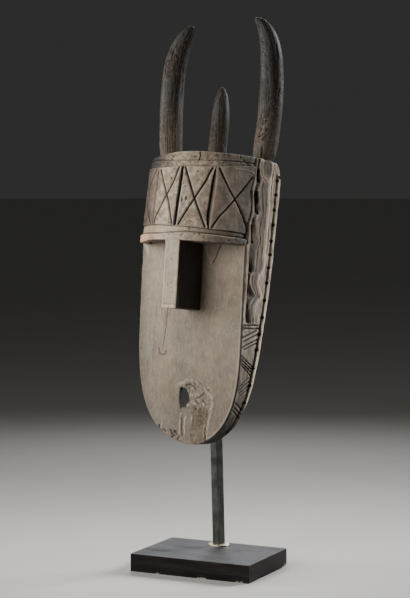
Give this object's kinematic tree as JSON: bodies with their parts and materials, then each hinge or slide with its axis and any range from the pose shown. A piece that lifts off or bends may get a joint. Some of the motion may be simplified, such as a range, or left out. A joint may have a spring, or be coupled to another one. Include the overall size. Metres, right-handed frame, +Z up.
{
  "type": "carved horned mask on a display stand",
  "caption": "Carved wooden face mask with slab nose, banded forehead, horns and an open back, held on a steel post over a low black block.",
  "frame": {"origin": "centre of the stand block's underside", "axes": "+Z up, the mask's face towards -Y, +X to the right of someone facing it"},
  "size_m": [0.2394, 0.2542, 0.978],
  "materials": {
    "carved_wood": "old dry carved wood, weathered grey-brown face, dark matt patina on the sides and horns",
    "post_steel": "dull greenish-grey steel bar",
    "collar_brass": "dark worn brass",
    "block_black": "black stained block with a worn satin top"
  },
  "bodies": {
    "root": {"mask": "carved_wood", "post": "post_steel", "post_collar": "collar_brass", "stand_block": "block_black"}
  },
  "joints": []
}
